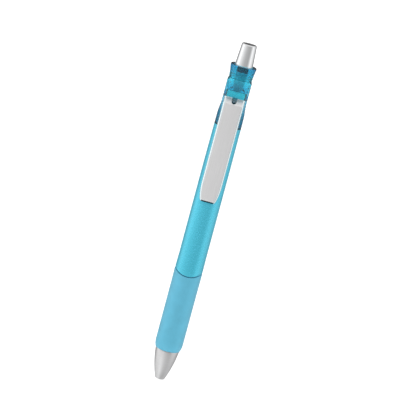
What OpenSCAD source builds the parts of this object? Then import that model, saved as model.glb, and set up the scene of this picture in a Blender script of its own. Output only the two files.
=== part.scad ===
// Retractable gel pen with a soft grip, a clear head, a sheet-metal clip and a click button.
// +Z runs along the pen from the writing end to the button, and the clip faces -Y.
// The origin is the centre of the nose cone's flat end, and the point is drawn in.

/* [Overall] */
// Length from the nose end to the top of the button
overall_l = 144; // [141:0.5:150]
// Diameter of the rear barrel above its flared lip
barrel_d = 11.4; // [11.3:0.02:11.42]
// Diameter of the rear barrel where it meets the head
barrel_top_d = 11.16; // [11.04:0.02:11.24]
// Diameter of the rear barrel's lip over the seam
lip_d = 11.64; // [11.6:0.02:11.7]

/* [Nose cone] */
// Length of the nose cone
nose_l = 13.3; // [13:0.1:13.8]
// Diameter of the nose cone at its end, before the edge is rounded
nose_end_d = 3.9; // [3.8:0.1:4.2]
// Diameter of the nose cone where it meets the grip
nose_top_d = 10; // [9.9:0.1:10.2]
// Diameter of the hole that the point comes out of
nose_hole_d = 2.5; // [2.4:0.05:2.6]

/* [Grip] */
// Height of the seam between grip and rear barrel at the pen's sides
seam_z = 48.3; // [45:0.1:52]
// How far the seam dips at the front and back of the pen
seam_dip = 1.9; // [1:0.1:3]
// Width of the open groove along the seam
seam_gap = 0.25; // [0.15:0.05:0.35]
// Diameter of the grip
grip_d = 11.5; // [11.4:0.05:11.7]
// Diameter of the barrel's core under the grip
core_d = 8.9; // [8.8:0.05:8.95]

/* [Head] */
// Length of the button that stands out of the collar
button_out = 8.9; // [8.5:0.1:10]
// Height of the flared collar
collar_l = 5.5; // [5.2:0.1:5.8]
// Diameter of the collar's top edge
collar_d = 10.7; // [10.5:0.1:10.9]
// Diameter of the waist under the collar
waist_d = 9.5; // [9.4:0.1:9.7]
// Diameter of the head between the waist and the clip
head_d = 10.1; // [10:0.1:10.2]
// Length of the head that shows, collar included
head_l = 25.1; // [24.5:0.1:26]

/* [Clip] */
// Length of the clip that shows under the head
clip_l = 44.2; // [41:0.2:47]
// Width of the clip
clip_w = 8.3; // [8:0.1:8.6]
// Width of the clip at its free end
clip_end_w = 6; // [5.5:0.1:7]
// Thickness of the clip's sheet
clip_t = 0.8; // [0.6:0.05:0.85]
// Gap between the clip's sheet and the barrel, where a pocket's edge goes
clip_gap = 0.95; // [0.9:0.05:1.2]

/* [Button] */
// Diameter of the button at its top
button_top_d = 6.24; // [6:0.02:6.4]
// Diameter of the button where it enters the collar
button_d = 7.4; // [7.2:0.05:7.5]
// Travel of the button from rest to fully pressed
button_travel = 6.5; // [6.3:0.1:6.6]

/* [Refill] */
// Diameter of the ink tube
tube_d = 6.1; // [5.9:0.05:6.2]
// Wall of the ink tube
tube_wall = 0.55; // [0.4:0.05:0.7]
// Diameter of the ball in the point
ball_d = 0.7; // [0.6:0.1:0.8]
// How far the ball lies inside the nose when the point is drawn in
point_recess = 1.2; // [1:0.1:1.6]
// Travel of the refill when the button is fully pressed
refill_travel = 5.5; // [5.3:0.1:5.6]
// Length of the ink column in a new refill
ink_l = 62; // [5:1:68]

/* [Springs] */
// Wire of the return spring
spring_wire = 0.45; // [0.35:0.05:0.5]
// Mean diameter of the return spring
spring_d = 4.3; // [4.2:0.05:4.4]
// Turns of the return spring
spring_turns = 8; // [6:1:9]

/* [Hidden] */

$fn = 96;
eps = 0.01;
// radial gap of parts that are pushed together and stay together
seat_gap = 0.05;
// radial gap of parts that slide or turn in each other
slide_gap = 0.075;

// heights of the head and its parts, counted down from the button's top
head_top_z = overall_l - button_out;
collar_z = head_top_z - collar_l;
head_z = head_top_z - head_l;
boss_z = head_top_z - 12.5;
web_z = boss_z - 0.8;
web_t = 1.5;

// the nose cone's bores and the thread that holds it on the core
nose_floor_z = 6;
nose_edge_r = 0.3;
thread_z = 8;
thread_r = 3.6;
thread_depth = 0.28;
thread_pitch = 0.9;
thread_turns = 4;
core_bore_r = tube_d / 2 + 0.3;
nose_spring_r = spring_d / 2 + spring_wire / 2 + 0.25;
core_floor_z = nose_l + 0.2;
core_top_z = seam_z + 11;

// the seam is cut by a cylinder that lies along Y
seam_r = (pow(lip_d / 2, 2) + pow(seam_dip, 2)) / (2 * seam_dip);
seam_low_z = seam_z - seam_dip;
// above this height the rear barrel draws in towards the head
belly_z = 92;

// bores of the head
barrel_bore_r = core_d / 2 + seat_gap;
guide_r = 3.7;
button_bore_r = button_d / 2 + slide_gap;
collar_seat_r = 4.15;
collar_seat_l = 2;

// the boss on the head's front that holds the clip's root
boss_front_y = -6.35;
boss_half_w = 4.3;
boss_top_z = collar_z - 1;
root_y = -5.1;
root_half_w = 3.4;
root_l = 2.4;
root_gap = 0.22;
tongue_half_w = 0.85;
tongue_l = 2.1;
tongue_gap = 0.15;

// the clip's sheet, its side flanges and its contact bead
clip_y = -(barrel_d / 2 + clip_gap + clip_t / 2);
clip_end_z = boss_z - clip_l;
clip_rise = 2.6;
clip_narrow_l = 8.3;
clip_curl_r = 1.3;
clip_curl_deg = 65;
flange_t = 0.6;
flange_depth = 1.7;
bead_z = clip_end_z + 4;
bead_r = 1.9;

// click mechanism: the teeth rise by the difference of the two travels in half a pitch
tooth_count = 8;
tooth_pitch = 360 / tooth_count;
tooth_fall = 3;
tooth_slope = 2 * (button_travel - refill_travel) / tooth_pitch;
tooth_play = 0.16;
groove_count = 4;
groove_deg = 40;
spline_deg = 16;
spline_r = 3.08;
guide_bore_r = spline_r + 0.14;
rib_r = 2.45;
shank_r = rib_r - 0.1;
shank_bore_r = 1.4;
crown_r = shank_r - 0.04;
crown_bore_r = shank_bore_r + 0.06;
guide_top_z = web_z - 0.1;
guide_low_z = guide_top_z - 17;
plunger_z = guide_top_z - 2.9;
rotor_z = plunger_z - (button_travel - refill_travel) - tooth_play;
rotor_turn = tooth_pitch / 2 - tooth_fall / 2;
rotor_spline_top_z = rotor_z - 0.8;
rotor_low_z = rotor_z - 5.6;
rib_low_z = rotor_spline_top_z - refill_travel + 0.15;

// refill, from the ball up to the plug that the rotor pushes on
ball_z = point_recess + ball_d / 2;
point_rim_z = ball_z - 0.15;
point_cone_z = 4.6;
point_r = 1.1;
point_stem_r = 0.9;
holder_z = 8;
stem_top_z = 11.2;
holder_r = 1.7;
flange_z = core_floor_z + refill_travel + 0.2;
tube_z = flange_z + 1.4;
holder_top_z = tube_z + 6;
plug_top_z = rotor_low_z - 1.3;
tube_top_z = plug_top_z - 0.8;
tube_bore_r = tube_d / 2 - tube_wall;
ink_top_z = holder_top_z + ink_l;
follower_l = 6;

// Points of the arc with radius r about (x, z) from angle a0 to a1
function arc(x, z, r, a0, a1, n = 8) =
    [for (i = [0:n]) let (a = a0 + (a1 - a0) * i / n) [x + r * cos(a), z + r * sin(a)]];

// Radius of the nose cone at height z: a cone that swells towards the grip
function nose_r(z) =
    let (u = (nose_l - z) / nose_l)
    nose_top_d / 2 - (nose_top_d - nose_end_d) / 2 * (0.36 * u + 0.64 * u * u);

// Half width of the clip at height z: parallel sides that draw in near the free end
function clip_half_w(z) =
    clip_w / 2 - (clip_w - clip_end_w) / 2
    * pow(max(0, clip_end_z + clip_narrow_l - z) / clip_narrow_l, 2.2);

// Middle of the clip's sheet at height z: it steps out from the root in a smooth S
function clip_mid_y(z) =
    let (u = min(1, max(0, (boss_z - 0.2 - z) / clip_rise)))
    root_y + (clip_y - root_y) * u * u * (3 - 2 * u);

// Height of a tooth at angle a
function tooth(a) =
    let (t = a - tooth_pitch * floor(a / tooth_pitch), top = tooth_pitch - tooth_fall)
    t <= top ? t * tooth_slope : top * tooth_slope * (tooth_pitch - t) / tooth_fall;

// Points of one tooth: its slope in four steps, then its steep face
function tooth_angles() = [for (i = [0:tooth_count - 1], j = [0:4])
    tooth_pitch * i + (tooth_pitch - tooth_fall) * j / 4];

module turned(outline) {
    rotate_extrude() polygon(outline);
}

module bore(r, z0, z1) {
    translate([0, 0, z0]) cylinder(r = r, h = z1 - z0);
}

module tube(r_out, r_in, z0, z1) {
    difference() {
        bore(r_out, z0, z1);
        bore(r_in, z0 - 1, z1 + 1);
    }
}

// Part of a ring, deg wide and centred on angle 0
module sector(r_out, r_in, z0, z1, deg) {
    translate([0, 0, z0]) rotate([0, 0, -deg / 2])
        rotate_extrude(angle = deg) translate([r_in, 0]) square([r_out - r_in, z1 - z0]);
}

// Ring with a flat side at flat_z and teeth on its other side, the lowest at tooth_z
module crown(r_out, r_in, flat_z, tooth_z, turn) {
    angles = tooth_angles();
    n = len(angles);
    column = [for (a = angles) let (z = tooth_z + tooth(a), c = cos(a + turn), s = sin(a + turn))
        [[r_in * c, r_in * s, flat_z], [r_out * c, r_out * s, flat_z],
         [r_out * c, r_out * s, z], [r_in * c, r_in * s, z]]];
    ring = [for (i = [0:n - 1], j = [0:3], k = [0, 1]) let (p = (i + 1) % n, q = (j + 1) % 4)
        k == 0 ? [4 * i + j, 4 * i + q, 4 * p + q] : [4 * i + j, 4 * p + q, 4 * p + j]];
    flipped = [for (f = ring) [f[2], f[1], f[0]]];
    polyhedron([for (c = column, p = c) p], flat_z > tooth_z ? flipped : ring, convexity = 6);
}

// Coil spring from z0 to z1, swept with a round wire; its end turns lie close together
module coil(d, wire, turns, z0, z1, steps, sides) {
    n = turns * steps;
    end_pitch = 1.15 * wire;
    rise = z1 - z0 - wire - 2 * end_pitch;
    function coil_z(t) = z0 + wire / 2
        + end_pitch * (min(t, 1) + max(0, t - turns + 1))
        + rise * min(1, max(0, (t - 1) / (turns - 2)));
    points = [for (i = [0:n], j = [0:sides - 1])
        let (a = 360 * i / steps, b = 360 * j / sides, r = d / 2 + wire / 2 * cos(b))
        [r * cos(a), r * sin(a), coil_z(i / steps) + wire / 2 * sin(b)]];
    wall = [for (i = [0:n - 1], j = [0:sides - 1], k = [0, 1])
        let (a = i * sides, b = a + sides, q = (j + 1) % sides)
        k == 0 ? [a + j, b + j, b + q] : [a + j, b + q, a + q]];
    start = [for (j = [1:sides - 2]) [0, j, j + 1]];
    end = [for (j = [1:sides - 2]) [n * sides, n * sides + j + 1, n * sides + j]];
    polyhedron(points, concat(wall, start, end), convexity = 10);
}

// Thread drawn as rings: spread 0 gives the core's ridges, more gives the nose's grooves
module thread_rings(spread) {
    for (i = [0:thread_turns - 1]) {
        z = thread_z + 0.6 + i * thread_pitch;
        turned([[thread_r - thread_depth - 0.2, z - spread],
                [thread_r - thread_depth, z - spread],
                [thread_r + spread, z + 0.2],
                [thread_r + spread, z + 0.35],
                [thread_r - thread_depth, z + 0.55 + spread],
                [thread_r - thread_depth - 0.2, z + 0.55 + spread]]);
    }
}

// Everything above the seam, moved down by spread
module above_seam(spread) {
    translate([0, 0, seam_low_z + seam_r]) {
        rotate([90, 0, 0]) cylinder(r = seam_r + spread, h = 20, center = true);
        translate([-10, -10, 0]) cube([20, 20, overall_l]);
    }
}

module nose_cone() {
    outer_end_r = nose_r(nose_edge_r);
    color("silver") difference() {
        turned(concat(
            [[0, 0]],
            arc(outer_end_r - nose_edge_r, nose_edge_r, nose_edge_r, -90, 0, 4),
            [for (i = [1:12]) let (z = nose_edge_r + (nose_l - nose_edge_r) * i / 12)
                [nose_r(z), z]],
            [[0, nose_l]]));
        bore(nose_hole_d / 2, -1, nose_l);
        bore(holder_r + 0.2, 2.2, nose_l);
        bore(nose_spring_r, nose_floor_z, nose_l);
        bore(thread_r - thread_depth + seat_gap, thread_z - 0.1, nose_l + 1);
        thread_rings(seat_gap);
        bore(thread_r + 0.1, nose_l - 0.9, nose_l + 1);
    }
}

module front_barrel() {
    color([0.45, 0.78, 0.86]) difference() {
        union() {
            bore(thread_r - thread_depth, thread_z, nose_l + 1);
            thread_rings(0);
            bore(core_d / 2, nose_l + seat_gap, core_top_z);
        }
        bore(nose_spring_r, thread_z - 1, nose_l + 1);
        bore(core_bore_r, core_floor_z, core_top_z + 1);
    }
}

module grip_sleeve() {
    low_z = nose_l + 2 * seat_gap;
    low_r = nose_top_d / 2 + 0.2;
    swell = grip_d / 2 - low_r;
    swell_r = (pow(swell, 2) + pow(3.2, 2)) / (2 * swell);
    swell_deg = asin(3.2 / swell_r);
    color([0.42, 0.75, 0.86]) difference() {
        turned(concat(
            [[barrel_bore_r, low_z]],
            arc(grip_d / 2 - swell_r, low_z + 3.2, swell_r, -swell_deg, 0, 6),
            [[grip_d / 2, seam_low_z - 5],
             [lip_d / 2 + 0.02, seam_z],
             [barrel_bore_r, seam_z]]));
        above_seam(seam_gap);
    }
}

module rear_barrel() {
    color([0.36, 0.79, 0.88]) intersection() {
        turned([[barrel_bore_r, seam_low_z - 1],
                [lip_d / 2, seam_low_z - 1],
                [lip_d / 2 - 0.02, seam_z + 1],
                [barrel_d / 2 + 0.01, seam_z + 6],
                [barrel_d / 2 - 0.01, belly_z],
                [barrel_top_d / 2, head_z - 0.05],
                [barrel_bore_r, head_z - 0.05]]);
        above_seam(0);
    }
}

// Block on the head's front with rounded upright edges; its back lies inside the head
module boss() {
    edge_r = 1.2;
    intersection() {
        rotate([90, 0, 90]) translate([0, 0, -boss_half_w]) linear_extrude(2 * boss_half_w)
            polygon([[0, boss_z],
                     [boss_front_y, boss_z],
                     [boss_front_y, boss_z + 4],
                     [-head_d / 2 + 0.3, boss_top_z],
                     [0, boss_top_z]]);
        translate([0, 0, boss_z - 1]) linear_extrude(20) {
            translate([-boss_half_w, boss_front_y + edge_r]) square([2 * boss_half_w, 6]);
            translate([-boss_half_w + edge_r, boss_front_y])
                square([2 * (boss_half_w - edge_r), 6]);
            for (x = [-1, 1])
                translate([x * (boss_half_w - edge_r), boss_front_y + edge_r]) circle(edge_r);
        }
    }
}

module tongue() {
    depth = 0.7;
    translate([0, boss_front_y + depth + 0.1, 0]) rotate([90, 0, 0]) linear_extrude(depth) {
        translate([-tongue_half_w, boss_z - tongue_l + tongue_half_w])
            square([2 * tongue_half_w, tongue_l]);
        translate([0, boss_z - tongue_l + tongue_half_w]) circle(tongue_half_w);
    }
}

module head() {
    skirt_top_z = head_z + 5.7;
    shoulder_z = head_z + 9;
    color([0.1, 0.55, 0.72, 0.6]) difference() {
        union() {
            turned([[0, head_z - 9],
                    [barrel_bore_r - 0.3, head_z - 9],
                    [barrel_bore_r - seat_gap, head_z - 8.6],
                    [barrel_bore_r - seat_gap, head_z],
                    [barrel_top_d / 2, head_z],
                    [barrel_top_d / 2 - 0.04, skirt_top_z - 1.6],
                    [barrel_top_d / 2 - 0.11, skirt_top_z],
                    [head_d / 2 + 0.26, shoulder_z - 1.6],
                    [head_d / 2 + 0.04, shoulder_z],
                    [head_d / 2, shoulder_z + 0.8],
                    [head_d / 2, collar_z - 0.8],
                    [waist_d / 2, collar_z],
                    [collar_seat_r, collar_z],
                    [collar_seat_r, collar_z + collar_seat_l - 0.1],
                    [0, collar_z + collar_seat_l - 0.1]]);
            boss();
            tongue();
        }
        bore(guide_r + seat_gap, head_z - 10, web_z);
        bore(rib_r, web_z - 1, web_z + 2);
        bore(button_bore_r, web_z + web_t, head_top_z + 1);
        translate([-root_half_w - root_gap, root_y - clip_t / 2 - root_gap, boss_z - 1])
            cube([2 * (root_half_w + root_gap), clip_t + 2 * root_gap, root_l + 1 + root_gap]);
    }
}

module top_collar() {
    color([0.08, 0.5, 0.66, 0.6]) difference() {
        turned([[0, collar_z + 0.05],
                [waist_d / 2, collar_z + 0.05],
                [(waist_d + collar_d) / 4 - 0.06, collar_z + collar_l / 2],
                [collar_d / 2, head_top_z - 0.5],
                [collar_d / 2 - 0.12, head_top_z],
                [0, head_top_z]]);
        bore(button_bore_r, collar_z - 1, head_top_z + 1);
        bore(collar_seat_r + seat_gap, collar_z - 1, collar_z + collar_seat_l);
    }
}

// Grooves let the splines slide and leave ribs between them; each rib's end has a latch shelf
module cam_guide() {
    shelf = 1;
    pitch_deg = 360 / groove_count;
    rib_deg = pitch_deg - groove_deg;
    overlap_deg = 2;
    color([0.75, 0.9, 0.95]) difference() {
        bore(guide_r, guide_low_z, guide_top_z);
        bore(rib_r, guide_low_z - 1, guide_top_z + 1);
        bore(guide_bore_r, guide_low_z - 1, rib_low_z);
        for (i = [0:groove_count - 1]) {
            rotate([0, 0, pitch_deg * i])
                sector(guide_bore_r, rib_r - 1, guide_low_z - 1, guide_top_z + 1, groove_deg);
            rotate([0, 0, pitch_deg * i - groove_deg / 2 - rib_deg / 4 + overlap_deg / 2])
                sector(guide_bore_r, rib_r - 1, rib_low_z - 1, rib_low_z + shelf,
                    rib_deg / 2 + overlap_deg);
        }
    }
}

// Clip's side view from its face to depth behind it, as a prism across the pen
module clip_side(depth, z0, z1, steps) {
    rotate([90, 0, 90]) translate([0, 0, -clip_w]) linear_extrude(2 * clip_w) polygon(concat(
        [for (i = [0:steps]) let (z = z0 + (z1 - z0) * i / steps)
            [clip_mid_y(z) - clip_t / 2, z]],
        [for (i = [steps:-1:0]) let (z = z0 + (z1 - z0) * i / steps)
            [clip_mid_y(z) - clip_t / 2 + depth, z]]));
}

// Clip's front view, drawn in by inset on each side, as a prism through the pen's front
module clip_front(inset, z0, z1) {
    steps = 12;
    right = [for (i = [0:steps]) let (z = z0 + clip_narrow_l * i / steps)
        [clip_half_w(z) - inset, z]];
    top_w = clip_w / 2 - inset;
    left = [for (i = [steps:-1:0]) [-right[i][0], right[i][1]]];
    rotate([90, 0, 0]) linear_extrude(12)
        polygon(concat(right, [[top_w, z1], [-top_w, z1]], left));
}

module clip() {
    shown_top_z = boss_z - 0.2;
    bend_z = boss_z - clip_rise - 1;
    curl_z = clip_end_z + clip_curl_r;
    inner_r = clip_curl_r - clip_t;
    color([0.8, 0.8, 0.82]) difference() {
        union() {
            // sheet with side flanges: the full depth less the space behind the sheet
            difference() {
                intersection() {
                    union() {
                        clip_side(flange_depth, bend_z, shown_top_z, 10);
                        clip_side(flange_depth, curl_z, bend_z, 1);
                    }
                    clip_front(0, clip_end_z, shown_top_z);
                }
                intersection() {
                    translate([0, clip_t, 0]) union() {
                        clip_side(flange_depth + 1, bend_z - eps, shown_top_z + 1, 11);
                        clip_side(flange_depth + 1, curl_z - 1, bend_z, 1);
                    }
                    clip_front(flange_t, clip_end_z, shown_top_z + 1);
                }
            }
            // the free end curls in towards the barrel
            intersection() {
                translate([-clip_w, clip_y - clip_t / 2 + clip_curl_r, curl_z]) rotate([90, 0, 90])
                    linear_extrude(2 * clip_w) polygon(concat(
                        arc(0, 0, clip_curl_r, 180, 180 + clip_curl_deg, 8),
                        arc(0, 0, inner_r, 180 + clip_curl_deg, 180, 8)));
                clip_front(0, clip_end_z, shown_top_z);
            }
            // the root goes up into the head's boss
            translate([-root_half_w, root_y - clip_t / 2, shown_top_z - 0.4])
                cube([2 * root_half_w, clip_t, root_l + 0.6]);
            // the bead touches the barrel
            intersection() {
                translate([0, clip_y + clip_t / 2 + clip_gap - seat_gap - bead_r, bead_z])
                    sphere(bead_r);
                translate([-5, clip_y, bead_z - 5]) cube([10, 5, 10]);
            }
        }
        // notch for the head's tongue
        translate([-tongue_half_w - tongue_gap, -10, boss_z - tongue_l - 2 * tongue_gap])
            cube([2 * (tongue_half_w + tongue_gap), 10, tongue_l + 2 * tongue_gap + 0.2]);
    }
}

module button_cap() {
    edge_r = 0.55;
    low_z = head_top_z - 0.5;
    color([0.86, 0.87, 0.88]) difference() {
        turned(concat(
            [[0, low_z], [button_d / 2, low_z], [button_d / 2, head_top_z + 0.2]],
            arc(button_top_d / 2 - edge_r, overall_l - edge_r, edge_r, 0, 90, 5),
            [[0, overall_l]]));
        bore(shank_r + seat_gap, low_z - 1, overall_l - 2);
    }
}

module plunger() {
    color([0.1, 0.35, 0.55]) {
        tube(shank_r, shank_bore_r, plunger_z + 2.4, overall_l - 2.1);
        crown(crown_r, crown_bore_r, plunger_z + 2.9, plunger_z, 0);
        for (i = [0:groove_count - 1])
            rotate([0, 0, 360 / groove_count * i])
                sector(spline_r, shank_r - 0.2, plunger_z + 2.6, guide_top_z, spline_deg);
    }
}

module rotor_cam() {
    color([0.93, 0.93, 0.9]) {
        crown(crown_r, crown_bore_r, rotor_z - 1.5, rotor_z, rotor_turn);
        bore(shank_r, rotor_low_z, rotor_z - 0.4);
        bore(1.7, plug_top_z + 0.1, rotor_low_z + 0.1);
        for (i = [0:groove_count - 1])
            rotate([0, 0, 360 / groove_count * i - tooth_pitch / 4])
                sector(spline_r, shank_r - 0.2, rotor_low_z + 1, rotor_spline_top_z, spline_deg);
    }
}

module return_spring() {
    color([0.75, 0.75, 0.78])
        coil(spring_d, spring_wire, spring_turns, nose_floor_z, flange_z, 16, 6);
}

module ink_tube() {
    color([0.85, 0.93, 0.97, 0.5])
        tube(tube_d / 2, tube_bore_r, tube_z, tube_top_z);
}

module gel_ink() {
    color([0.05, 0.2, 0.6])
        bore(tube_bore_r - eps, holder_top_z + eps, ink_top_z);
}

module ink_follower() {
    color([0.9, 0.85, 0.6, 0.7])
        bore(tube_bore_r - eps, ink_top_z + eps, ink_top_z + follower_l);
}

module tail_plug() {
    color([0.95, 0.95, 0.95]) difference() {
        turned([[0, tube_top_z - 3],
                [tube_bore_r - 0.2, tube_top_z - 3],
                [tube_bore_r - eps, tube_top_z - 2.6],
                [tube_bore_r - eps, tube_top_z],
                [tube_d / 2, tube_top_z],
                [tube_d / 2, plug_top_z - 0.2],
                [tube_d / 2 - 0.2, plug_top_z],
                [0, plug_top_z]]);
        // vent that lets air in behind the ink
        bore(0.4, tube_top_z - 4, plug_top_z + 1);
    }
}

module tip_holder() {
    color([0.9, 0.94, 0.97]) difference() {
        turned([[0, holder_z],
                [holder_r - 0.3, holder_z],
                [holder_r, holder_z + 0.6],
                [holder_r, flange_z - 2],
                [holder_r + 0.15, flange_z],
                [tube_d / 2, flange_z],
                [tube_d / 2, tube_z],
                [tube_bore_r - eps, tube_z],
                [tube_bore_r - eps, holder_top_z - 0.6],
                [tube_bore_r - 0.4, holder_top_z],
                [0, holder_top_z]]);
        bore(point_stem_r + 0.02, holder_z - 1, stem_top_z + 0.1);
        bore(0.6, stem_top_z, holder_top_z - 4);
        bore(1.6, holder_top_z - 4, holder_top_z + 1);
    }
}

module point() {
    socket_r = ball_d / 2 + 0.02;
    color([0.82, 0.8, 0.74]) difference() {
        turned([[0, point_rim_z],
                [ball_d / 2 + 0.06, point_rim_z],
                [ball_d / 2 + 0.22, ball_z + 0.5],
                [point_r, point_cone_z],
                [point_r, holder_z - 0.05],
                [point_stem_r, holder_z - 0.05],
                [point_stem_r, stem_top_z],
                [0, stem_top_z]]);
        translate([0, 0, ball_z]) sphere(socket_r);
        bore(0.2, ball_z, point_cone_z);
        bore(0.5, point_cone_z, stem_top_z + 1);
    }
}

// Fine spring that presses a pin onto the back of the ball, so that the point doesn't leak.
// Its turns are drawn as rings on a thin sleeve.
module tip_spring() {
    seat_z = point_cone_z + 0.05;
    coil_r = 0.34;
    wire_r = 0.08;
    turns = 16;
    pitch = (stem_top_z - 0.1 - seat_z - 0.1 - 2 * wire_r) / (turns - 1);
    color([0.8, 0.8, 0.8]) {
        tube(coil_r + 0.03, coil_r - 0.03, seat_z + 0.05, stem_top_z - 0.1 - wire_r);
        for (i = [0:turns - 1])
            translate([0, 0, seat_z + 0.1 + wire_r + i * pitch])
                rotate_extrude() translate([coil_r, 0]) circle(wire_r, $fn = 24);
        bore(0.42, seat_z, seat_z + 0.15);
        bore(0.1, ball_z + ball_d / 2 + 0.05, seat_z + 0.1);
    }
}

module point_ball() {
    color([0.35, 0.35, 0.38])
        translate([0, 0, ball_z]) sphere(d = ball_d);
}

nose_cone();
front_barrel();
grip_sleeve();
rear_barrel();
head();
top_collar();
cam_guide();
clip();
button_cap();
plunger();
rotor_cam();
return_spring();
ink_tube();
gel_ink();
ink_follower();
tail_plug();
tip_holder();
point();
tip_spring();
point_ball();
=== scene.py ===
"""Retractable gel pen: the visible pieces, their materials, the studio and the camera.

Sizes are in millimetres in the row frame (+Z from the writing end to the button, the clip
faces -Y) and become metres where a mesh is made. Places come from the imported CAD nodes.
"""

import math

import bmesh
import bpy
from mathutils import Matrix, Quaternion, Vector


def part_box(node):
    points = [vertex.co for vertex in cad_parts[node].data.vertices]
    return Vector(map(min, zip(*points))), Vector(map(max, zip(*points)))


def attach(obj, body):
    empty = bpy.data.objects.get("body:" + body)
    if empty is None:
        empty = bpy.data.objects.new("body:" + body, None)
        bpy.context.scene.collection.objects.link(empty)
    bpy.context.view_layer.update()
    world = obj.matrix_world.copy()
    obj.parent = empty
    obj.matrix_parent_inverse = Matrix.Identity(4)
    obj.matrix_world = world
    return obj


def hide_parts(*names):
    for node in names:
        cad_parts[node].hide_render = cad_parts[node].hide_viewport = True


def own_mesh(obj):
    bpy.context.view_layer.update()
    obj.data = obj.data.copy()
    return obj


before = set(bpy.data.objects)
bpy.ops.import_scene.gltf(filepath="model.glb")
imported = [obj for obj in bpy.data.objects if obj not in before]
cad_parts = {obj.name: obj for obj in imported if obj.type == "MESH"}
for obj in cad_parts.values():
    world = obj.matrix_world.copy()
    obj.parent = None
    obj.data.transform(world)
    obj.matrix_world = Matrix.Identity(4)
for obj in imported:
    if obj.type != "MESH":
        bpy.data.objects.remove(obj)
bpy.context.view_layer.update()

MM = 0.001
SEGMENTS = 128
SEAT_GAP = 0.05


def span(node):
    """A CAD node's greatest radius and its lowest and highest z, in mm."""
    low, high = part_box(node)
    return high.x / MM, low.z / MM, high.z / MM


# ---------------------------------------------------------------- places from the CAD frame
NOSE_TOP_Z = span("nose_cone")[2]
GRIP_LOW_Z = span("grip_sleeve")[1]
LIP_R, SEAM_LOW_Z, HEAD_Z = span("rear_barrel")
HEAD_LOW_Z = span("head")[1]
COLLAR_R, COLLAR_Z, COLLAR_TOP_Z = span("top_collar")
CAP_R, CAP_LOW_Z, CAP_TOP_Z = span("button_cap")
GUIDE_TOP_Z = span("cam_guide")[2]
CLIP_HALF_W, CLIP_END_Z, ROOT_TOP_Z = span("clip")
CLIP_FACE_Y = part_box("clip")[0].y / MM
BOSS_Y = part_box("head")[0].y / MM

# ---------------------------------------------------------------- shape values
SEAM_DIP = 1.9
SEAM_GAP = 0.25
LIP_FILLET = 0.35
CORE_R = 4.5
GRIP_R = 5.75
BARREL_R = 5.7
BELLY_Z = 92
BARREL_TOP_R = 5.58
HEAD_R = 5.05
WAIST_R = 4.75
GUIDE_BORE_R = 3.75
BUTTON_BORE_R = 3.775
COLLAR_SEAT_R = 4.15
CAP_TOP_R = 3.12

BOSS_Z = COLLAR_TOP_Z - 12.5
BOSS_TOP_Z = COLLAR_Z - 1
BOSS_HALF_W = 4.3
ROOT_Y = -5.1
ROOT_HALF_W = 3.4
ROOT_GAP = 0.22
TONGUE_HALF_W = 0.85
TONGUE_L = 2.1
TONGUE_GAP = 0.15
SHEET_T = 0.8
CLIP_END_HALF_W = 3.0
CLIP_NARROW_L = 8.3
CLIP_RISE = 2.6
CURL_R = 1.3
CURL_ANGLE = math.radians(65)
EDGE_ROLL = 0.85
FLANGE_T = 0.6
FLANGE_DEPTH = 1.7
BEAD_R = 1.9


# ---------------------------------------------------------------- mesh helpers
def add_mesh(name, points, faces, sharp_angle=35):
    """Object from points in mm, with merged doubles, outward normals and smooth shading."""
    mesh = bpy.data.meshes.new(name)
    mesh.from_pydata([Vector(p) * MM for p in points], [], faces)
    grid = bmesh.new()
    grid.from_mesh(mesh)
    bmesh.ops.remove_doubles(grid, verts=grid.verts, dist=1e-7)
    bmesh.ops.recalc_face_normals(grid, faces=grid.faces)
    grid.to_mesh(mesh)
    grid.free()
    obj = bpy.data.objects.new(name, mesh)
    bpy.context.scene.collection.objects.link(obj)
    smooth(obj, sharp_angle)
    return obj


def smooth(obj, sharp_angle):
    """Smooth shading, with edges sharper than the angle kept sharp."""
    mesh = obj.data
    mesh.polygons.foreach_set("use_smooth", [True] * len(mesh.polygons))
    mesh.set_sharp_from_angle(angle=math.radians(sharp_angle))


def arc(x, z, r, start, end, steps=8):
    """Points on an arc about (x, z), angles in degrees."""
    angles = [math.radians(start + (end - start) * i / steps) for i in range(steps + 1)]
    return [(x + r * math.cos(a), z + r * math.sin(a)) for a in angles]


def rounded(corners):
    """Closed outline through (r, z, fillet radius) corners, with an arc at each fillet."""
    steps, straight = 6, math.radians(89.5)
    outline = []
    for i, (r, z, fillet) in enumerate(corners):
        here = Vector((r, z))
        back = Vector(corners[i - 1][:2]) - here
        ahead = Vector(corners[(i + 1) % len(corners)][:2]) - here
        half = back.angle(ahead) / 2
        if fillet == 0 or half > straight:
            outline.append((r, z))
            continue
        reach = min(fillet / math.tan(half), 0.48 * min(back.length, ahead.length))
        inward = (back.normalized() + ahead.normalized()).normalized()
        centre = here + inward * reach / math.cos(half)
        first = here + back.normalized() * reach - centre
        last = here + ahead.normalized() * reach - centre
        turn = first.angle(last)
        for k in range(steps + 1):
            a, b = math.sin((1 - k / steps) * turn), math.sin(k / steps * turn)
            outline.append(tuple(centre + (first * a + last * b) / math.sin(turn)))
    return outline


def revolve(name, outline_at, segments=SEGMENTS, sharp_angle=35):
    """Turned piece: outline_at(angle) is its closed (r, z) outline at that angle from +X."""
    points, faces = [], []
    for i in range(segments):
        angle = math.tau * i / segments
        outline = outline_at(angle)
        points += [(r * math.cos(angle), r * math.sin(angle), z) for r, z in outline]
    count = len(outline)
    for i in range(segments):
        a, b = i * count, (i + 1) % segments * count
        for j in range(count):
            k = (j + 1) % count
            faces.append((a + j, b + j, b + k, a + k))
    return add_mesh(name, points, faces, sharp_angle)


def turned(name, corners, **options):
    """Turned piece from rounded corners that are the same all round."""
    outline = rounded(corners)
    return revolve(name, lambda angle: outline, **options)


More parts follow.
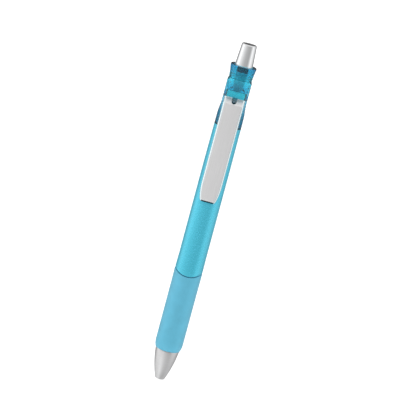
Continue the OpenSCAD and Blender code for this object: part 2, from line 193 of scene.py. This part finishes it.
def prism(name, outline, axis, low, high):
    """Straight prism: outline is (y, z) pairs for axis X, (x, y) for Z and (x, z) for Y."""
    place = {
        "X": lambda u, v, w: (w, u, v),
        "Y": lambda u, v, w: (u, w, v),
        "Z": lambda u, v, w: (u, v, w),
    }[axis]
    count = len(outline)
    points = [place(u, v, w) for w in (low, high) for u, v in outline]
    sides = [(i, (i + 1) % count, count + (i + 1) % count, count + i) for i in range(count)]
    return add_mesh(name, points, sides + [tuple(range(count)), tuple(range(count, 2 * count))])


def settle(piece):
    """Applies a piece's modifiers to its mesh."""
    bpy.context.view_layer.update()
    shaped = piece.evaluated_get(bpy.context.evaluated_depsgraph_get())
    mesh = bpy.data.meshes.new_from_object(shaped)
    piece.modifiers.clear()
    piece.data = mesh


def combine(piece, other, operation):
    """Joins, cuts or keeps what piece shares with other, which is then removed."""
    step = piece.modifiers.new("step", "BOOLEAN")
    step.operation = operation
    step.solver = "EXACT"
    step.object = other
    settle(piece)
    bpy.data.objects.remove(other)


def soften(piece, width):
    """Small rounded edges on a piece's sharp corners."""
    bevel = piece.modifiers.new("edges", "BEVEL")
    bevel.width = width * MM
    bevel.segments = 3
    bevel.limit_method = "ANGLE"
    bevel.angle_limit = math.radians(35)
    settle(piece)


def finish_piece(piece, body, slot, node, *materials):
    """Gives a piece its materials and body, and hides the CAD node that it stands for; the slot
    argument is not used.
    """
    for material in materials:
        piece.data.materials.append(material)
    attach(piece, body)
    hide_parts(node)
    return piece


# ---------------------------------------------------------------- material helpers
def principled(name, color, **values):
    """Material with one Principled shader; values are set on its own sockets."""
    material = bpy.data.materials.new(name)
    material.use_nodes = True
    shader = material.node_tree.nodes["Principled BSDF"]
    shader.inputs["Base Color"].default_value = (*color, 1)
    for key, value in values.items():
        shader.inputs[key.replace("_", " ").title().replace("Ior", "IOR")].default_value = value
    return material, material.node_tree, shader


def place_noise(tree, scale, stretch=(1, 1, 1), detail=3.0):
    """Noise in the row frame: scale is features per metre, stretch widens it along an axis."""
    coords = tree.nodes.new("ShaderNodeTexCoord")
    mapping = tree.nodes.new("ShaderNodeMapping")
    mapping.inputs["Scale"].default_value = [scale / s for s in stretch]
    noise = tree.nodes.new("ShaderNodeTexNoise")
    noise.inputs["Scale"].default_value = 1.0
    noise.inputs["Detail"].default_value = detail
    tree.links.new(coords.outputs["Object"], mapping.inputs["Vector"])
    tree.links.new(mapping.outputs["Vector"], noise.inputs["Vector"])
    return noise.outputs["Fac"]


def vary_color(tree, shader, factor, dark, light, low=0.35, high=0.65):
    """Base colour that runs from dark to light with the factor."""
    ramp = tree.nodes.new("ShaderNodeValToRGB")
    ramp.color_ramp.elements[0].position = low
    ramp.color_ramp.elements[0].color = (*dark, 1)
    ramp.color_ramp.elements[1].position = high
    ramp.color_ramp.elements[1].color = (*light, 1)
    tree.links.new(factor, ramp.inputs["Fac"])
    tree.links.new(ramp.outputs["Color"], shader.inputs["Base Color"])


def vary_roughness(tree, shader, factor, smooth_value, rough_value):
    """Roughness that runs between two values with the factor."""
    spread = tree.nodes.new("ShaderNodeMapRange")
    spread.inputs["From Min"].default_value = 0.3
    spread.inputs["From Max"].default_value = 0.7
    spread.inputs["To Min"].default_value = smooth_value
    spread.inputs["To Max"].default_value = rough_value
    tree.links.new(factor, spread.inputs["Value"])
    tree.links.new(spread.outputs["Result"], shader.inputs["Roughness"])


def add_bump(tree, shader, factor, height):
    """Relief of that height in mm."""
    bump = tree.nodes.new("ShaderNodeBump")
    bump.inputs["Strength"].default_value = 1.0
    bump.inputs["Distance"].default_value = height * MM
    tree.links.new(factor, bump.inputs["Height"])
    tree.links.new(bump.outputs["Normal"], shader.inputs["Normal"])


def blend_stops(tree, value, low, high, stops):
    """Ramp over a value that runs from low to high; stops are (value, brightness or colour)."""
    scale = tree.nodes.new("ShaderNodeMapRange")
    scale.inputs["From Min"].default_value = low
    scale.inputs["From Max"].default_value = high
    ramp = tree.nodes.new("ShaderNodeValToRGB")
    tree.links.new(value, scale.inputs["Value"])
    tree.links.new(scale.outputs["Result"], ramp.inputs["Fac"])
    elements = ramp.color_ramp.elements
    while len(elements) < len(stops):
        elements.new(0.5)
    for element, (place, light) in zip(elements, stops):
        element.position = (place - low) / (high - low)
        element.color = (*light, 1) if isinstance(light, tuple) else (light, light, light, 1)
    return ramp.outputs["Color"]


def shade(color, amount):
    """A colour made lighter or darker by a share."""
    return tuple(min(1.0, c * amount) for c in color)


# ---------------------------------------------------------------- materials
def satin_metal():
    """Bead-blasted aluminium with faint turning lines."""
    base = (0.70, 0.70, 0.705)
    material, tree, shader = principled("satin_metal", base, metallic=1.0)
    blast = place_noise(tree, 9000, detail=2.0)
    lines = place_noise(tree, 14000, stretch=(60, 60, 1), detail=1.0)
    vary_color(tree, shader, lines, shade(base, 0.95), shade(base, 1.05))
    vary_roughness(tree, shader, blast, 0.30, 0.40)
    add_bump(tree, shader, blast, 0.0015)
    return material


def grip_rubber():
    """Soft-touch rubber: matte, with a fine grain and a little sheen."""
    base = (0.130, 0.495, 0.675)
    material, tree, shader = principled(
        "grip_rubber", base, metallic=0.3, sheen_weight=0.2, sheen_roughness=0.4, ior=1.45
    )
    grain = place_noise(tree, 7000, detail=4.0)
    cloud = place_noise(tree, 220)
    vary_color(tree, shader, cloud, shade(base, 0.96), shade(base, 1.04))
    vary_roughness(tree, shader, grain, 0.42, 0.54)
    add_bump(tree, shader, grain, 0.006)
    return material


def barrel_plastic():
    """Moulded pearl plastic under a clear gloss."""
    base = (0.066, 0.555, 0.735)
    material, tree, shader = principled(
        "barrel_plastic", base, metallic=0.4, coat_weight=0.5, coat_roughness=0.06, ior=1.5
    )
    pearl = place_noise(tree, 5000)
    flow = place_noise(tree, 160, stretch=(1, 1, 6))
    vary_color(tree, shader, flow, shade(base, 0.965), shade(base, 1.035))
    vary_roughness(tree, shader, pearl, 0.20, 0.30)
    add_bump(tree, shader, flow, 0.004)
    return material


def clear_plastic(name, bands, tint_color, transmission, density):
    """Clear tinted plastic: the tint deepens with the length of the way through it, and the surface
    colour follows the height as the bands (z in mm, colour) say; darker or greyer bands there are
    painted shade."""
    lowest = bands[0][1]
    material, tree, shader = principled(name, lowest, transmission_weight=transmission, ior=1.45)
    shader.inputs["Specular IOR Level"].default_value = 0.15
    coords = tree.nodes.new("ShaderNodeTexCoord")
    split = tree.nodes.new("ShaderNodeSeparateXYZ")
    tree.links.new(coords.outputs["Object"], split.inputs["Vector"])
    stops = [(z * MM, color) for z, color in bands]
    tint = blend_stops(tree, split.outputs["Z"], HEAD_LOW_Z * MM, COLLAR_TOP_Z * MM, stops)
    tree.links.new(tint, shader.inputs["Base Color"])
    flow = place_noise(tree, 260, stretch=(1, 1, 4))
    vary_roughness(tree, shader, flow, 0.015, 0.045)
    add_bump(tree, shader, flow, 0.006)
    depth = tree.nodes.new("ShaderNodeVolumeAbsorption")
    depth.inputs["Color"].default_value = (*tint_color, 1)
    depth.inputs["Density"].default_value = density
    tree.links.new(depth.outputs["Volume"], tree.nodes["Material Output"].inputs["Volume"])
    return material


def clip_steel():
    """Satin steel sheet, brushed along its length."""
    base = (0.965, 0.96, 0.965)
    material, tree, shader = principled("clip_steel", base, metallic=1.0)
    brush = place_noise(tree, 9000, stretch=(1, 1, 80), detail=2.0)
    vary_color(tree, shader, brush, shade(base, 0.97), shade(base, 1.03))
    vary_roughness(tree, shader, brush, 0.50, 0.58)
    add_bump(tree, shader, brush, 0.0012)
    return material


def polished(name, base, smooth_value, rough_value):
    """Polished metal with faint polishing marks."""
    material, tree, shader = principled(name, base, metallic=1.0)
    marks = place_noise(tree, 1800, stretch=(1, 1, 5))
    vary_color(tree, shader, marks, shade(base, 0.985), shade(base, 1.015))
    vary_roughness(tree, shader, marks, smooth_value, rough_value)
    add_bump(tree, shader, marks, 0.0006)
    return material


def moulded(name, base, roughness, transmission=0.0):
    """Moulded plastic with a fine grain, solid or clear as asked."""
    material, tree, shader = principled(name, base, transmission_weight=transmission, ior=1.49)
    grain = place_noise(tree, 3500)
    vary_color(tree, shader, grain, shade(base, 0.95), shade(base, 1.04))
    vary_roughness(tree, shader, grain, roughness * 0.8, roughness * 1.2)
    add_bump(tree, shader, grain, 0.003)
    return material


def plunger_plastic():
    """The plunger: natural plastic, with painted shade as a dark band from just below the cap upward,
    for the shade in the bore under the cap.
    """
    # light is the plunger's own colour; dark is painted shade for the bore under the button cap, seen
    # through the clear collar
    light, dark = (0.90, 0.96, 0.98), (0.004, 0.03, 0.09)
    material, tree, shader = principled("plunger_plastic", light, ior=1.49)
    coords = tree.nodes.new("ShaderNodeTexCoord")
    split = tree.nodes.new("ShaderNodeSeparateXYZ")
    ring = tree.nodes.new("ShaderNodeMapRange")
    ring.inputs["From Min"].default_value = (CAP_LOW_Z - 2.0) * MM
    ring.inputs["From Max"].default_value = (CAP_LOW_Z - 1.8) * MM
    tree.links.new(coords.outputs["Object"], split.inputs["Vector"])
    tree.links.new(split.outputs["Z"], ring.inputs["Value"])
    vary_color(tree, shader, ring.outputs["Result"], light, dark, 0.4, 0.6)
    grain = place_noise(tree, 3500)
    vary_roughness(tree, shader, grain, 0.25, 0.4)
    add_bump(tree, shader, grain, 0.003)
    return material


# ---------------------------------------------------------------- pieces
def nose_radius(z):
    """Radius of the nose cone: a cone that swells towards the grip."""
    top_r, taper = 5.0, 3.05
    u = (NOSE_TOP_Z - z) / NOSE_TOP_Z
    return top_r - taper * (0.36 * u + 0.64 * u * u)


def nose_cone():
    """Cone with a rounded end, the hole for the point, and its inner bores."""
    end_edge, top_edge, hole_edge = 0.3, 0.12, 0.1
    thread_r, spring_r, tip_r, hole_r = 3.4, 2.625, 1.9, 1.25
    thread_z, floor_z, tip_z = 8, 6, 2.2
    outside = arc(nose_radius(end_edge) - end_edge, end_edge, end_edge, -90, 0)
    steps = 24
    for i in range(1, steps):
        z = end_edge + (NOSE_TOP_Z - end_edge - top_edge) * i / steps
        outside.append((nose_radius(z), z))
    outside += arc(nose_radius(NOSE_TOP_Z) - top_edge, NOSE_TOP_Z - top_edge, top_edge, 0, 90, 5)
    inside = [(thread_r + 0.3, NOSE_TOP_Z), (thread_r, NOSE_TOP_Z - 0.9), (thread_r, thread_z)]
    inside += [(spring_r, thread_z - 0.1), (spring_r, floor_z), (tip_r, floor_z), (tip_r, tip_z)]
    inside += [(hole_r, tip_z)] + arc(hole_r + hole_edge, hole_edge, hole_edge, 180, 270, 4)
    outline = outside + inside
    return revolve("nose_cone_shell", lambda angle: outline)


def seam_height(r, angle):
    """Height of the seam at radius r: it is cut by a cylinder that lies along Y."""
    cut_r = (LIP_R**2 + SEAM_DIP**2) / (2 * SEAM_DIP)
    return SEAM_LOW_Z + cut_r - math.sqrt(cut_r**2 - (r * math.cos(angle)) ** 2)


def grip_sleeve():
    """Soft sleeve that swells from the nose and ends under the seam with a rounded lip."""
    low_r, swell_l, flare_z = 5.2, 3.2, SEAM_LOW_Z - 5
    swell = GRIP_R - low_r
    swell_r = (swell**2 + swell_l**2) / (2 * swell)
    swell_angle = math.degrees(math.asin(swell_l / swell_r))
    flank = arc(GRIP_R - swell_r, GRIP_LOW_Z + swell_l, swell_r, -swell_angle, 0, 12)

    def outline(angle):
        top = seam_height(LIP_R, angle) - SEAM_GAP
        inner_top = seam_height(CORE_R, angle) - SEAM_GAP
        foot = rounded([(CORE_R, GRIP_LOW_Z, 0), (low_r, GRIP_LOW_Z, 0.12), (*flank[1], 0)])
        lip = rounded([(GRIP_R, flare_z, 0), (LIP_R, top, LIP_FILLET), (CORE_R, inner_top, 0)])
        return foot[:-1] + flank[1:-1] + lip

    return revolve("grip_sleeve_skin", outline)


def rear_barrel():
    """Glossy barrel with a rounded lip over the seam."""
    seam_z = SEAM_LOW_Z + SEAM_DIP

    def outline(angle):
        return rounded(
            [
                (CORE_R, seam_height(CORE_R, angle), 0),
                (LIP_R - 0.01, seam_height(LIP_R, angle), LIP_FILLET),
                (LIP_R - 0.02, seam_z + 1, 0),
                (BARREL_R, seam_z + 6, 0),
                (BARREL_R - 0.01, BELLY_Z, 0),
                (BARREL_TOP_R, HEAD_Z, 0.12),
                (CORE_R, HEAD_Z, 0),
            ]
        )

    return revolve("rear_barrel_shell", outline)


def boss():
    """Block on the head's front with rounded corners and a top that slopes in all round."""
    corner, reach = 1.5, 7.5
    front_top_z, slope = BOSS_Z + 4, 1.25
    block = turned(
        "boss",
        [
            (0, BOSS_Z, 0),
            (reach, BOSS_Z, 0),
            (reach, front_top_z - slope * (reach + BOSS_Y), 0),
            (HEAD_R - 0.3, BOSS_TOP_Z, 0),
            (0, BOSS_TOP_Z, 0),
        ],
    )
    left = arc(-BOSS_HALF_W + corner, BOSS_Y + corner, corner, 180, 270, 10)
    right = arc(BOSS_HALF_W - corner, BOSS_Y + corner, corner, 270, 360, 10)
    footprint = left + right + [(BOSS_HALF_W, 0.001), (-BOSS_HALF_W, 0.001)]
    combine(block, prism("footprint", footprint, "Z", BOSS_Z - 2, BOSS_TOP_Z + 2), "INTERSECT")
    soften(block, 0.2)
    core_r, core_low_z = 4.2, BOSS_Z - 3
    core = turned(
        "core", [(0, core_low_z, 0), (core_r, core_low_z, 0), (core_r, COLLAR_Z, 0), (0, COLLAR_Z, 0)]
    )
    combine(block, core, "DIFFERENCE")
    return block


def tongue():
    """Rounded tab that reaches down into the clip's notch."""
    depth, front_y = 0.7, BOSS_Y + 0.1
    outline = arc(0, BOSS_Z - TONGUE_L + TONGUE_HALF_W, TONGUE_HALF_W, 180, 360, 16)
    outline += [(TONGUE_HALF_W, BOSS_Z + 1), (-TONGUE_HALF_W, BOSS_Z + 1)]
    tab = prism("tongue", outline, "Y", front_y, front_y + depth)
    soften(tab, 0.15)
    return tab


def head():
    """Clear head: spigot, skirt, shoulder, waist and collar seat, with its boss and tongue."""
    spigot_r, web_r = 4.4, 2.45
    web_z = GUIDE_TOP_Z + 0.1
    web_top_z = web_z + 1.5
    seat_top_z = COLLAR_Z + 1.85
    body = turned(
        "head_shell",
        [
            (GUIDE_BORE_R, HEAD_LOW_Z, 0),
            (spigot_r - 0.3, HEAD_LOW_Z, 0.1),
            (spigot_r, HEAD_LOW_Z + 0.4, 0.1),
            (spigot_r, HEAD_Z + SEAT_GAP, 0),
            (BARREL_TOP_R, HEAD_Z + SEAT_GAP, 0.12),
            (5.54, HEAD_Z + 4.2, 3),
            (5.47, HEAD_Z + 5.7, 2),
            (5.12, HEAD_Z + 8.6, 2),
            (HEAD_R, HEAD_Z + 9.8, 3),
            (HEAD_R, COLLAR_Z - 0.85, 0.4),
            (WAIST_R, COLLAR_Z - SEAT_GAP, 0.08),
            (COLLAR_SEAT_R, COLLAR_Z - SEAT_GAP, 0),
            (COLLAR_SEAT_R, seat_top_z, 0.15),
            (BUTTON_BORE_R, seat_top_z, 0.1),
            (BUTTON_BORE_R, web_top_z, 0.3),
            (web_r, web_top_z, 0.1),
            (web_r, web_z, 0.1),
            (GUIDE_BORE_R, web_z, 0.2),
        ],
        sharp_angle=50,
    )
    combine(body, boss(), "UNION")
    combine(body, tongue(), "UNION")
    slot_half_w, slot_half_t = ROOT_HALF_W + ROOT_GAP, SHEET_T / 2 + ROOT_GAP
    opening = [
        (-slot_half_w, ROOT_Y - slot_half_t),
        (slot_half_w, ROOT_Y - slot_half_t),
        (slot_half_w, ROOT_Y + slot_half_t),
        (-slot_half_w, ROOT_Y + slot_half_t),
    ]
    combine(body, prism("slot", opening, "Z", BOSS_Z - 1, ROOT_TOP_Z + 0.2), "DIFFERENCE")
    smooth(body, 40)
    return body


def top_collar():
    """Clear flared collar around the button."""
    return turned(
        "top_collar_shell",
        [
            (COLLAR_SEAT_R + SEAT_GAP, COLLAR_Z, 0),
            (WAIST_R, COLLAR_Z, 0.1),
            ((WAIST_R + COLLAR_R) / 2 - 0.06, (COLLAR_Z + COLLAR_TOP_Z) / 2, 3),
            (COLLAR_R, COLLAR_TOP_Z - 0.5, 0.3),
            (COLLAR_R - 0.12, COLLAR_TOP_Z, 0.14),
            (BUTTON_BORE_R, COLLAR_TOP_Z, 0.12),
            (BUTTON_BORE_R, COLLAR_Z + 2, 0),
            (COLLAR_SEAT_R + SEAT_GAP, COLLAR_Z + 2, 0),
        ],
    )


def button_cap():
    """Plated cap that tapers to a rounded top, hollow underneath for the plunger."""
    bore_r, roof_z = 2.4, CAP_TOP_Z - 2
    return turned(
        "button_cap_shell",
        [
            (0, CAP_TOP_Z, 0),
            (CAP_TOP_R - 0.02, CAP_TOP_Z, 0.55),
            (CAP_R, COLLAR_TOP_Z + 0.2, 3),
            (CAP_R, CAP_LOW_Z, 0.15),
            (bore_r, CAP_LOW_Z, 0.08),
            (bore_r, roof_z, 0),
            (0, roof_z, 0),
        ],
    )


def clip_half_width(z):
    """Half width of the clip: parallel sides that draw in near the free end."""
    u = max(0.0, CLIP_END_Z + CLIP_NARROW_L - z) / CLIP_NARROW_L
    return CLIP_HALF_W - (CLIP_HALF_W - CLIP_END_HALF_W) * u**2.2


def clip_section(half_w, depth):
    """Closed section of the clip as (x, distance behind the face): a sheet with rolled edges
    and flanges that reach depth behind the face."""
    roll, foot = EDGE_ROLL, 0.12
    right = [(half_w - roll + roll * math.sin(a), roll - roll * math.cos(a))
             for a in [math.radians(90 * i / 8) for i in range(9)]]
    right += [(half_w, depth - foot), (half_w - foot, depth), (half_w - FLANGE_T + foot, depth)]
    right += [(half_w - FLANGE_T, depth - foot * 0.5), (half_w - FLANGE_T, SHEET_T)]
    return right + [(-x, n) for x, n in reversed(right)]


def clip():
    """Sheet clip swept down its face: it steps out from the root and curls at its free end."""
    top_z = BOSS_Z - 0.2
    curl_z = CLIP_END_Z + CURL_R
    face_y = CLIP_FACE_Y
    root_face_y = ROOT_Y - SHEET_T / 2
    stations = []
    straight_z = top_z - CLIP_RISE
    for i in range(20):
        u = i / 20
        y = root_face_y + (face_y - root_face_y) * u * u * (3 - 2 * u)
        stations.append((y, top_z - CLIP_RISE * u, 0.0, FLANGE_DEPTH))
    narrow_z = CLIP_END_Z + CLIP_NARROW_L + 1
    levels = [straight_z, (straight_z + narrow_z) / 2]
    levels += [narrow_z + (curl_z + 1 - narrow_z) * i / 16 for i in range(17)]
    stations += [(face_y, z, 0.0, FLANGE_DEPTH) for z in levels]
    short = SHEET_T + 0.06
    stations += [(face_y, curl_z + 1 - 0.25 * i, 0.0,
                  short + (FLANGE_DEPTH - short) * (1 - i / 4) ** 0.6) for i in range(1, 4)]
    for i in range(11):
        a = CURL_ANGLE * i / 10
        y = face_y + CURL_R * (1 - math.cos(a))
        stations.append((y, curl_z - CURL_R * math.sin(a), a, short))
    points, faces = [], []
    for y, z, a, depth in stations:
        for x, n in clip_section(clip_half_width(z), depth):
            points.append((x, y + n * math.cos(a), z + n * math.sin(a)))
    count = len(clip_section(CLIP_HALF_W, FLANGE_DEPTH))
    for i in range(len(stations) - 1):
        a, b = i * count, (i + 1) * count
        faces += [(a + j, a + (j + 1) % count, b + (j + 1) % count, b + j) for j in range(count)]
    faces.append(tuple(range(count)))
    faces.append(tuple(range(len(points) - count, len(points))))
    sheet = add_mesh("clip_sheet", points, faces, 40)
    root_back_y = ROOT_Y + SHEET_T / 2
    root_outline = [(-ROOT_HALF_W, root_face_y), (ROOT_HALF_W, root_face_y)]
    root_outline += [(ROOT_HALF_W, root_back_y), (-ROOT_HALF_W, root_back_y)]
    root = prism("root", root_outline, "Z", top_z - 0.4, ROOT_TOP_Z)
    combine(sheet, root, "UNION")
    bead_z = CLIP_END_Z + 4
    bead_top_y = -BARREL_R - SEAT_GAP
    dome = revolve("bead", lambda angle: arc(0, bead_top_y - BEAD_R, BEAD_R, -90, 90, 16)
                   + [(0, bead_top_y - BEAD_R)], segments=40)
    for v in dome.data.vertices:
        x, y, z = v.co
        v.co = (x, z, bead_z * MM - y)
    reach, front_y = 3, face_y + 0.3
    inside_clip = [(-reach, front_y), (reach, front_y), (reach, 0), (-reach, 0)]
    keep = prism("keep", inside_clip, "Z", bead_z - reach, bead_z + reach)
    combine(dome, keep, "INTERSECT")
    combine(sheet, dome, "UNION")
    notch_half_w = TONGUE_HALF_W + TONGUE_GAP
    notch_end = BOSS_Z - TONGUE_L - 2 * TONGUE_GAP
    notch = arc(0, notch_end + notch_half_w, notch_half_w, 180, 360, 16)
    notch += [(notch_half_w, BOSS_Z + 0.2), (-notch_half_w, BOSS_Z + 0.2)]
    combine(sheet, prism("notch", notch, "Y", -10, 0), "DIFFERENCE")
    smooth(sheet, 40)
    # slot 1 is the polished edge; slot 2 is painted shade, dark teal on the downward faces of the
    # curled end
    edge_slot, painted_shade_slot = 1, 2
    edge_x, lip_z = (CLIP_END_HALF_W - 0.9) * MM, curl_z * MM
    for face in sheet.data.polygons:
        if abs(face.normal.x) > 0.12 and abs(face.center.x) > edge_x:
            face.material_index = edge_slot
        elif face.normal.z < -0.3 and face.center.z < lip_z:
            face.material_index = painted_shade_slot
    return sheet


def return_spring():
    """Helix with a round wire and closed end turns, made at its rest length; the real spring shortens
    as the refill moves down.
    """
    outer_r, low_z, top_z = span("return_spring")
    wire, turns, steps, sides = 0.45, 8, 32, 10
    mean_r = outer_r - wire / 2
    closed_pitch = 1.15 * wire
    rise = top_z - low_z - wire - 2 * closed_pitch
    points = []
    for i in range(turns * steps + 1):
        t = i / steps
        z = low_z + wire / 2 + closed_pitch * (min(t, 1) + max(0, t - turns + 1))
        z += rise * min(1, max(0, (t - 1) / (turns - 2)))
        angle = math.tau * t
        for j in range(sides):
            b = math.tau * j / sides
            r = mean_r + wire / 2 * math.cos(b)
            points.append((r * math.cos(angle), r * math.sin(angle), z + wire / 2 * math.sin(b)))
    rows = turns * steps
    faces = []
    for i in range(rows):
        a, b = i * sides, (i + 1) * sides
        faces += [(a + j, a + (j + 1) % sides, b + (j + 1) % sides, b + j) for j in range(sides)]
    faces.append(tuple(range(sides)))
    faces.append(tuple(range(rows * sides, rows * sides + sides)))
    return add_mesh("return_spring_coil", points, faces)


# ---------------------------------------------------------------- studio and camera
def calculate(tree, operation, first, second):
    """Math node with two inputs, each a socket or a number."""
    node = tree.nodes.new("ShaderNodeMath")
    node.operation = operation
    for socket, value in zip(node.inputs, (first, second)):
        if isinstance(value, (int, float)):
            socket.default_value = value
        else:
            tree.links.new(value, socket)
    return node.outputs[0]


def layer(tree, under, over, factor):
    """One brightness laid over another by a factor."""
    mix = tree.nodes.new("ShaderNodeMix")
    mix.data_type = "RGBA"
    tree.links.new(factor, mix.inputs["Factor"])
    tree.links.new(under, mix.inputs["A"])
    tree.links.new(over, mix.inputs["B"])
    return mix.outputs["Result"]


def studio_world():
    """White surroundings for the camera. What the pen reflects is a ring: a large softbox on
    the left, a smaller one on the right, grey between them behind the camera, a light
    ceiling, a light ground that is brightest at the left front and dark straight below, and
    a dark back wall."""
    world = bpy.data.worlds.new("studio")
    bpy.context.scene.world = world
    world.use_nodes = True
    tree = world.node_tree
    nodes, links = tree.nodes, tree.links
    nodes.clear()
    coords = nodes.new("ShaderNodeTexCoord")
    split = nodes.new("ShaderNodeSeparateXYZ")
    links.new(coords.outputs["Generated"], split.inputs["Vector"])
    side, depth, height = split.outputs
    angle = calculate(tree, "ARCTAN2", side, calculate(tree, "MULTIPLY", depth, -1))
    azimuth = calculate(tree, "MULTIPLY", angle, 180 / math.pi)
    # azimuth in degrees from the camera's side, + to its right, and brightness there
    ring = blend_stops(tree, azimuth, -180, 180, [
        (-180, 1.1), (-156, 1.1), (-147, 0.28), (-126, 0.28), (-106, 1.0), (-85, 1.3),
        (-55, 0.92), (-25, 0.64), (0, 0.5), (34, 0.44), (42, 0.49), (50, 0.63), (66, 1.0),
        (75, 1.1), (94, 0.9), (118, 0.6), (130, 0.28), (147, 0.28), (156, 1.1), (180, 1.1),
    ])
    ground = blend_stops(tree, azimuth, -180, 180, [
        (-180, 0.8), (-90, 0.9), (-60, 1.05), (-41, 1.35), (-20, 1.1), (0, 0.92), (40, 0.7),
        (90, 0.64), (180, 0.8),
    ])
    near_ground = blend_stops(tree, height, -1, 1, [(-1, 1), (-0.6, 1), (-0.35, 0)])
    ceiling = blend_stops(tree, height, -1, 1, [(0.5, 0.9), (1, 0.8)])
    near_ceiling = blend_stops(tree, height, -1, 1, [(0.35, 0), (0.6, 1)])
    back = blend_stops(tree, depth, -1, 1, [(0.8, 0), (0.9, 1)])
    above = blend_stops(tree, height, -1, 1, [(0.0, 0), (0.12, 1), (0.5, 1), (0.6, 0)])
    wall = blend_stops(tree, height, -1, 1, [(0, 0.12), (1, 0.12)])
    under = blend_stops(tree, height, -1, 1, [(-1, 0.05), (-0.93, 0.05), (-0.86, 1), (1, 1)])
    light = layer(tree, ring, ground, near_ground)
    light = layer(tree, light, ceiling, near_ceiling)
    light = layer(tree, light, wall, calculate(tree, "MULTIPLY", back, above))
    light = calculate(tree, "MULTIPLY", light, under)
    seen = nodes.new("ShaderNodeBackground")
    seen.inputs["Color"].default_value = (1, 1, 1, 1)
    lit = nodes.new("ShaderNodeBackground")
    links.new(light, lit.inputs["Color"])
    path = nodes.new("ShaderNodeLightPath")
    choose = nodes.new("ShaderNodeMixShader")
    links.new(path.outputs["Is Camera Ray"], choose.inputs["Fac"])
    links.new(lit.outputs["Background"], choose.inputs[1])
    links.new(seen.outputs["Background"], choose.inputs[2])
    output = nodes.new("ShaderNodeOutputWorld")
    links.new(choose.outputs["Shader"], output.inputs["Surface"])


def floor():
    """Plain pale floor under the pressed-out point; the pen doesn't mirror it."""
    half, floor_z = 3000, -5
    outline = [(-half, -half), (half, -half), (half, half), (-half, half)]
    plane = add_mesh("floor", [(x, y, floor_z) for x, y in outline], [(0, 1, 2, 3)])
    paper, pale = (0.93, 0.93, 0.93), (0.95, 0.95, 0.95)
    material, tree, shader = principled("floor_paper", paper, roughness=0.9)
    shader.inputs["Emission Color"].default_value = (1, 1, 1, 1)
    shader.inputs["Emission Strength"].default_value = 0.55
    grain = place_noise(tree, 500, detail=2.0)
    vary_color(tree, shader, grain, paper, pale)
    plane.data.materials.append(material)
    plane.visible_glossy = False


def camera():
    """A long lens in front of the pen and above it, looking at its middle, with some roll."""
    place, target, roll_degrees = (0, -0.861, 0.288), (-0.002975, 0, 0.077322), 15.063
    data = bpy.data.cameras.new("camera")
    data.lens = 197.63
    data.sensor_width = 36
    data.clip_start = 0.01
    data.clip_end = 100
    obj = bpy.data.objects.new("camera", data)
    bpy.context.scene.collection.objects.link(obj)
    obj.location = place
    aim = Vector(target) - obj.location
    roll = Quaternion((0, 0, 1), math.radians(roll_degrees))
    obj.rotation_mode = "QUATERNION"
    obj.rotation_quaternion = aim.to_track_quat("-Z", "Y") @ roll
    bpy.context.scene.camera = obj


# ---------------------------------------------------------------- make everything
bpy.context.scene.view_settings.view_transform = "Standard"
camera()
studio_world()
floor()

# Surface colour of the clear head by height: the dark teal bands up to a few mm above the barrel are
# painted shade where the head meets the barrel, the greyer bands below the boss are painted shade
# under the boss and clip, and the cyan from the boss up is the plastic's own tint.
HEAD_TINT_AND_SHADE_BANDS = [
    (HEAD_LOW_Z, (0.02, 0.42, 0.52)),
    (HEAD_Z + 0.5, (0.02, 0.30, 0.37)),
    (HEAD_Z + 5, (0.10, 0.48, 0.54)),
    (HEAD_Z + 8, (0.62, 0.82, 0.86)),
    (BOSS_Z - 1, (0.76, 0.84, 0.86)),
    (BOSS_Z, (0.20, 0.89, 0.98)),
    (COLLAR_Z, (0.22, 0.96, 1.0)),
]
COLLAR_BANDS = [(COLLAR_Z, (0.12, 0.98, 1.0)), (COLLAR_TOP_Z, (0.11, 0.96, 1.0))]
HEAD_PLASTIC = clear_plastic("head_plastic", HEAD_TINT_AND_SHADE_BANDS, (0.02, 0.70, 0.83), 0.91, 700)
COLLAR_PLASTIC = clear_plastic("collar_plastic", COLLAR_BANDS, (0.02, 0.70, 0.82), 0.97, 1400)
finish_piece(nose_cone(), "barrel", "satin_metal", "nose_cone", satin_metal())
finish_piece(grip_sleeve(), "barrel", "grip_rubber", "grip_sleeve", grip_rubber())
finish_piece(rear_barrel(), "barrel", "barrel_plastic", "rear_barrel", barrel_plastic())
finish_piece(head(), "barrel", "clear_plastic", "head", HEAD_PLASTIC)
finish_piece(top_collar(), "barrel", "clear_plastic", "top_collar", COLLAR_PLASTIC)
# the clip's third material is painted shade for the downward faces of its curled end
finish_piece(clip(), "clip", "clip_steel", "clip", clip_steel(),
             polished("clip_edge", (0.86, 0.97, 1.0), 0.14, 0.22),
             polished("clip_lip_painted_shade", (0.03, 0.105, 0.14), 0.3, 0.4))
finish_piece(button_cap(), "button", "chrome", "button_cap",
             polished("chrome", (0.86, 0.87, 0.88), 0.04, 0.08))
coil = finish_piece(return_spring(), "barrel", "spring_steel", "return_spring",
                    polished("spring_wire", (0.62, 0.62, 0.64), 0.18, 0.3))
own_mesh(coil)

CAD_MATERIALS = {
    "front_barrel": moulded("core_plastic", (0.22, 0.66, 0.80), 0.3),
    "cam_guide": moulded("guide_plastic", (0.16, 0.42, 0.52), 0.3),
    "plunger": plunger_plastic(),
    "rotor_cam": moulded("rotor_plastic", (0.90, 0.91, 0.88), 0.4),
    "ink_tube": moulded("tube_plastic", (0.80, 0.90, 0.94), 0.2, transmission=0.8),
    "gel_ink": moulded("gel_ink", (0.01, 0.05, 0.30), 0.15),
    "ink_follower": moulded("follower_grease", (0.78, 0.70, 0.42), 0.1, transmission=0.5),
    "tail_plug": moulded("plug_plastic", (0.80, 0.82, 0.83), 0.4),
    "tip_holder": moulded("holder_plastic", (0.80, 0.83, 0.85), 0.35),
    "point": polished("point_metal", (0.66, 0.62, 0.52), 0.15, 0.25),
    "tip_spring": polished("tip_spring_steel", (0.62, 0.62, 0.64), 0.2, 0.3),
    "point_ball": polished("carbide", (0.18, 0.18, 0.20), 0.1, 0.2),
}
for node, material in CAD_MATERIALS.items():
    for material_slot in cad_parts[node].material_slots:
        material_slot.material = material
